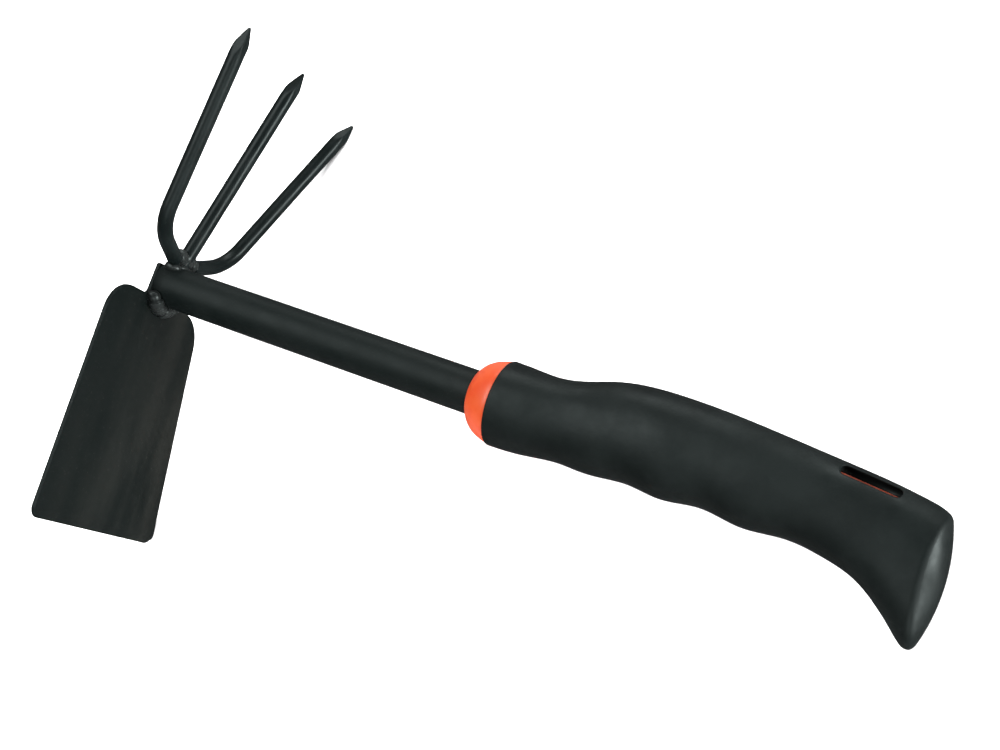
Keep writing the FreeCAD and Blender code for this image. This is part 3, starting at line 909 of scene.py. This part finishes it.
def mix_colours(add, factor, first, second):
    """Blend of two colours."""
    node = add("ShaderNodeMix", data_type="RGBA")
    node.inputs["Factor"].default_value = 0.5
    node.id_data.links.new(factor, node.inputs["Factor"])
    for socket, colour in ((node.inputs[6], first), (node.inputs[7], second)):
        if isinstance(colour, bpy.types.NodeSocket):
            node.id_data.links.new(colour, socket)
        else:
            socket.default_value = (*colour, 1)
    return node.outputs[2]


def bump(add, height, strength, distance, normal=None):
    """Bump from a height."""
    inputs = {"Height": height, "Strength": strength, "Distance": distance}
    if normal is not None:
        inputs["Normal"] = normal
    return add("ShaderNodeBump", inputs).outputs["Normal"]


def paint_material(name, colours, roughness, grain=1.0, shine=0.35, stretch=1.0,
                   painted_light_below=None):
    """Black paint over steel: faint colour drift, uneven gloss, orange peel and fine specks.

    stretch below 1 draws the drift out into streaks down the blade, and the height given last keeps
    them to the part of it under this height, lighter the nearer the floor: painted light."""
    material, shader, add, links, where = new_material(name)
    base, lift = colours
    drawn = add("ShaderNodeMapping", {"Vector": where, "Scale": (1.0, stretch, 1.0)})
    drift = noise_at(add, drawn.outputs["Vector"], 35.0 / stretch ** 0.25, 4.0)
    drift = ramp(add, drift, 0.38, 0.62, 0.0, 1.0)
    if painted_light_below is not None:
        # Painted light: the lighter drift shows more the nearer the floor, so the blade is darker
        # high up.
        height = add("ShaderNodeSeparateXYZ", {"Vector": where}).outputs["Z"]
        painted_light = ramp(add, height, painted_light_below, 0.01, 0.0, 1.0)
        drift = add("ShaderNodeMath", {0: drift, 1: painted_light}, operation="MULTIPLY").outputs["Value"]
    dust = ramp(add, noise_at(add, where, 900.0, 2.0), 0.66, 0.74, 0.0, 0.5)
    colour = mix_colours(add, drift, base, lift)
    colour = mix_colours(add, dust, colour, tuple(c * 2.5 for c in lift))
    links.new(colour, shader.inputs["Base Color"])
    low, high = roughness
    gloss = ramp(add, noise_at(add, where, 70.0, 5.0, 0.6), 0.3, 0.7, low, high)
    links.new(gloss, shader.inputs["Roughness"])
    peel = bump(add, noise_at(add, where, 420.0, 2.0), 0.35 * grain, 0.00012)
    fine = bump(add, noise_at(add, where, 1500.0, 3.0), 0.25 * grain, 0.00005, peel)
    links.new(fine, shader.inputs["Normal"])
    shader.inputs["Specular IOR Level"].default_value = shine
    shader.inputs["Specular Tint"].default_value = COOL
    return material


def rubber_material():
    """Soft black overmould: matt, with a fine moulded grain and faint rubbed patches."""
    material, shader, add, links, where = new_material("grip_rubber")
    drift = ramp(add, noise_at(add, where, 38.0, 5.0, 0.6), 0.38, 0.62, 0.0, 1.0)
    colour = mix_colours(add, drift, *RUBBER_COLOURS)
    links.new(colour, shader.inputs["Base Color"])
    gloss = ramp(add, noise_at(add, where, 42.0, 6.0, 0.6), 0.32, 0.68, 0.38, 0.64)
    links.new(gloss, shader.inputs["Roughness"])
    grain = bump(add, noise_at(add, where, 1400.0, 3.0, 0.6), 0.3, 0.00008)
    soft = bump(add, noise_at(add, where, 55.0, 3.0), 0.4, 0.0008, grain)
    links.new(soft, shader.inputs["Normal"])
    shader.inputs["Specular IOR Level"].default_value = 0.42
    shader.inputs["Specular Tint"].default_value = COOL
    return material


def orange_material(name, colours):
    """Orange moulded plastic with a satin gloss and a trace of flow marks."""
    material, shader, add, links, where = new_material(name)
    flow = ramp(add, noise_at(add, where, 110.0, 3.0), 0.35, 0.65, 0.0, 1.0)
    colour = mix_colours(add, flow, *colours)
    links.new(colour, shader.inputs["Base Color"])
    gloss = ramp(add, noise_at(add, where, 300.0, 3.0), 0.3, 0.7, 0.32, 0.42)
    links.new(gloss, shader.inputs["Roughness"])
    grain = bump(add, noise_at(add, where, 900.0, 2.0), 0.2, 0.00006)
    links.new(grain, shader.inputs["Normal"])
    shader.inputs["Subsurface Weight"].default_value = 0.08
    shader.inputs["Subsurface Radius"].default_value = (0.002, 0.0006, 0.0002)
    return material


# ---- Floor, light and camera --------------------------------------------------------------------
FLOOR_HALF = 3.0                 # metres
FLOOR_DROP = 0.0005              # the floor lies this far under the tool
WORLD_STRENGTH = 0.12
# Lights on everything: where each stands and aims, its size, in metres, and its power in watts.
LIGHTS = {
    "above": ((-0.55, 0.05, 1.5), (0, 0, 0), (1.5, 0.9), 11),
    "tine_side": ((-0.1, 1.5, 0.55), (0, 0, 0.05), (1.6, 0.5), 7),
    "butt_side": ((1.4, 0.1, 0.14), (0.15, 0, 0.04), (0.9, 0.26), 16),
    "blade_side": ((0.9, -1.2, 1.2), (0, 0, 0), (1.0, 0.8), 5),
}
FLOOR_LIGHT = ((0, 0, 2.2), (0, 0, 0), (3.0, 3.0), 240)
COLLAR_LIGHT = ((-0.6, 0.1, 1.4), (0, 0, 0), (1.2, 0.8), 7)


def build_floor():
    """Plain pale floor that the tool lies on."""
    mesh = bpy.data.meshes.new("floor")
    corners = [(x * FLOOR_HALF, y * FLOOR_HALF, 0) for x, y in ((-1, -1), (1, -1), (1, 1), (-1, 1))]
    mesh.from_pydata(corners, [], [(0, 1, 2, 3)])
    material, shader, *_ = new_material("floor_white")
    shader.inputs["Base Color"].default_value = (0.93, 0.93, 0.93, 1)
    shader.inputs["Roughness"].default_value = 0.9
    shader.inputs["Specular IOR Level"].default_value = 0.1
    mesh.materials.append(material)
    floor = bpy.data.objects.new("floor", mesh)
    bpy.context.scene.collection.objects.link(floor)
    floor.location.z = -FLOOR_DROP
    floor.visible_glossy = False
    return floor


def only(name, *objects):
    """Collection of what a light of its own shines on."""
    group = bpy.data.collections.new(name)
    for obj in objects:
        group.objects.link(obj)
    return group


def soft_light(name, spot, target, size, power, lit=None):
    """Area light at spot, aimed at target, in metres. lit is what it lights, if not everything."""
    light = bpy.data.lights.new(name, "AREA")
    light.shape = "RECTANGLE"
    light.size, light.size_y = size
    light.energy = power
    obj = bpy.data.objects.new(name, light)
    obj.location = spot
    aim = Vector(target) - Vector(spot)
    obj.rotation_mode = "QUATERNION"
    obj.rotation_quaternion = aim.to_track_quat("-Z", "Y")
    bpy.context.scene.collection.objects.link(obj)
    if lit is not None:
        obj.light_linking.receiver_collection = lit


def build_lights(floor, collar):
    """A dim even surround, soft lights, and one each for the floor and the collar alone."""
    world = bpy.data.worlds.new("studio")
    world.use_nodes = True
    background = world.node_tree.nodes["Background"]
    background.inputs["Color"].default_value = (1, 1, 1, 1)
    background.inputs["Strength"].default_value = WORLD_STRENGTH
    bpy.context.scene.world = world
    for name, settings in LIGHTS.items():
        soft_light(name, *settings)
    soft_light("floor_light", *FLOOR_LIGHT, only("floor_only", floor))
    soft_light("collar_light", *COLLAR_LIGHT, only("collar_only", collar))


def build_camera():
    """Camera above the butt's end of the tool, looking down at it."""
    data = bpy.data.cameras.new("camera")
    data.lens = CAMERA_LENS
    data.sensor_width = 36.0
    camera = bpy.data.objects.new("camera", data)
    back = -(TURN @ CAMERA_LOOKS).normalized()
    up = TURN @ CAMERA_UP
    right = up.cross(back).normalized()
    up = back.cross(right)
    turn = Matrix((right, up, back)).transposed().to_4x4()
    camera.matrix_world = Matrix.Translation(START + TURN @ CAMERA_AT * MM) @ turn
    bpy.context.scene.collection.objects.link(camera)
    bpy.context.scene.camera = camera


def main():
    """Build the tool, the floor, the lights and the camera."""
    bpy.context.scene.view_settings.view_transform = "Standard"
    paint = paint_material("head_paint", TUBE_COLOURS, (0.46, 0.6))
    # The blade's paint is streaked lighter towards the floor: painted light.
    streaks_and_painted_light = paint_material("blade_paint", BLADE_COLOURS, (0.4, 0.52), shine=0.3,
                              stretch=BLADE_STREAKS, painted_light_below=PAINTED_LIGHT_BELOW)
    rods = paint_material("rod_paint", ROD_COLOURS, GLOSSY)
    weld = paint_material("weld_paint", WELD_COLOURS, GLOSSY, grain=1.2, shine=0.5)
    build_tube(paint)
    build_blade(streaks_and_painted_light)
    build_tines(rods)
    build_welds(weld)
    # The core's darker orange is dust and painted shade.
    dust_and_shade_orange = orange_material("core_orange", CORE_COLOURS)
    bright = orange_material("collar_orange", COLLAR_COLOURS)
    build_core(dust_and_shade_orange)
    collar = build_collar(bright)
    build_sleeve(rubber_material())
    build_lights(build_floor(), collar)
    build_camera()


main()
